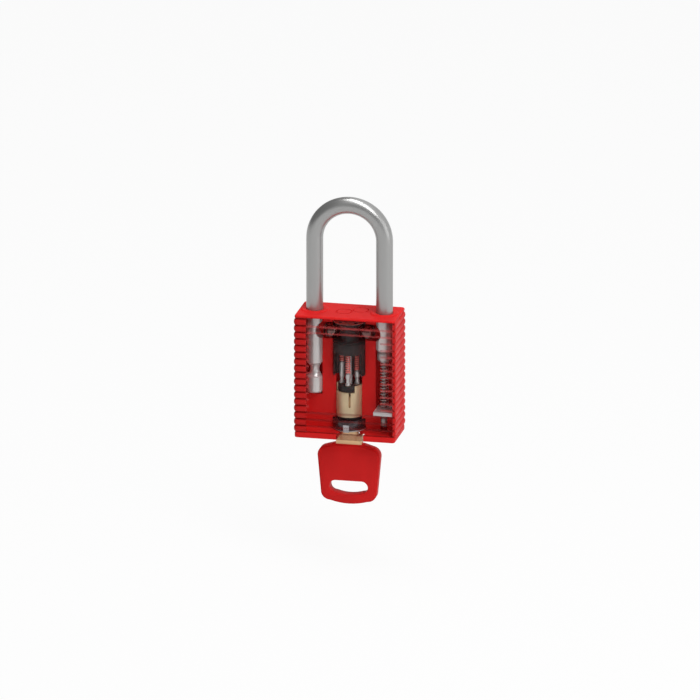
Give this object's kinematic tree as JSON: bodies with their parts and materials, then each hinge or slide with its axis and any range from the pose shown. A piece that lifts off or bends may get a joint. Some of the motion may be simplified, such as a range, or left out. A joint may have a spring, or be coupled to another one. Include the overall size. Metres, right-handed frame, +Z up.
{
  "type": "keyed safety padlock",
  "caption": "Keyed safety padlock: ribbed red plastic case with a see-through front over ball locking, pin cylinder and ejector, tall steel shackle, tubular key in the bottom.",
  "frame": {"origin": "middle of the underside of the shackle's bow, where the lock hangs on a staple", "axes": "+Z up along the shackle legs, -Y out of the see-through front, +X towards the short leg"},
  "size_m": [0.039, 0.0196, 0.1194],
  "materials": {
    "red_case": "moulded satin red thermoplastic",
    "clear_red_cover": "see-through red moulded cover",
    "satin_steel": "satin stainless bar",
    "polished_steel": "polished hardened steel",
    "plain_steel": "turned zinc-plated steel",
    "spring_steel": "drawn spring wire",
    "bronze_spring": "phosphor bronze wire",
    "black_nylon": "black moulded nylon",
    "dark_collar": "dark polished collar",
    "brass": "turned brass",
    "key_brass": "milled brass",
    "black_rubber": "black sealing rubber",
    "red_bow": "moulded red plastic"
  },
  "bodies": {
    "case": {"case_body": "red_case", "front_cover": "clear_red_cover", "pin_housing": "black_nylon", "cylinder_sleeve": "brass", "seal_ring": "black_rubber", "cylinder_collar": "dark_collar", "spring_clip": "plain_steel", "ejector_spring": "spring_steel", "pin_spring_left": "bronze_spring", "pin_spring_front": "bronze_spring", "pin_spring_right": "bronze_spring", "pin_spring_rear": "bronze_spring"},
    "shackle": {"shackle": "satin_steel"},
    "plunger": {"plunger": "plain_steel", "plunger_foot": "plain_steel"},
    "rotor": {"rotor": "black_nylon", "drive_rod": "plain_steel", "cam": "black_nylon"},
    "left_ball": {"ball_left": "polished_steel"},
    "right_ball": {"ball_right": "polished_steel"},
    "driver_pins": {"driver_pin_left": "polished_steel", "driver_pin_front": "polished_steel", "driver_pin_right": "polished_steel", "driver_pin_rear": "polished_steel"},
    "key_pins": {"key_pin_left": "brass", "key_pin_front": "brass", "key_pin_right": "brass", "key_pin_rear": "brass"},
    "key": {"key_shank": "key_brass", "key_bow": "red_bow"}
  },
  "joints": [
    {"name": "shackle_lift", "type": "slide", "parent": "case", "child": "shackle", "axis": [0, 0, 1], "range_m": [0, 0.0155]},
    {"name": "plunger_rise", "type": "slide", "parent": "case", "child": "plunger", "axis": [0, 0, 1], "range_m": [0, 0.0024], "deforming": ["ejector_spring"]},
    {"name": "key_turn", "type": "hinge", "parent": "case", "child": "rotor", "pos_m": [0, 0, -0.0675], "axis": [0, 0, 1], "range_deg": [0, 90]},
    {"name": "left_ball_slide", "type": "slide", "parent": "case", "child": "left_ball", "axis": [-1, 0, 0], "range_m": [0, 0.0013]},
    {"name": "right_ball_slide", "type": "slide", "parent": "case", "child": "right_ball", "axis": [1, 0, 0], "range_m": [0, 0.0013]},
    {"name": "key_slide", "type": "slide", "parent": "rotor", "child": "key", "axis": [0, 0, -1], "range_m": [0, 0.018]},
    {"name": "driver_pin_drop", "type": "slide", "parent": "case", "child": "driver_pins", "axis": [0, 0, -1], "range_m": [0, 0.001], "deforming": ["pin_spring_left", "pin_spring_front", "pin_spring_right", "pin_spring_rear"]},
    {"name": "key_pin_drop", "type": "slide", "parent": "rotor", "child": "key_pins", "axis": [0, 0, -1], "range_m": [0, 0.001]}
  ],
  "couplings": [
    {"joint": "plunger_rise", "follows": "shackle_lift", "ratio": 0.15484},
    {"joint": "left_ball_slide", "follows": "key_turn", "m_per_rad": 0.00082761},
    {"joint": "right_ball_slide", "follows": "key_turn", "m_per_rad": 0.00082761},
    {"joint": "driver_pin_drop", "follows": "key_slide", "ratio": 0.055556},
    {"joint": "key_pin_drop", "follows": "key_slide", "ratio": 0.055556}
  ]
}
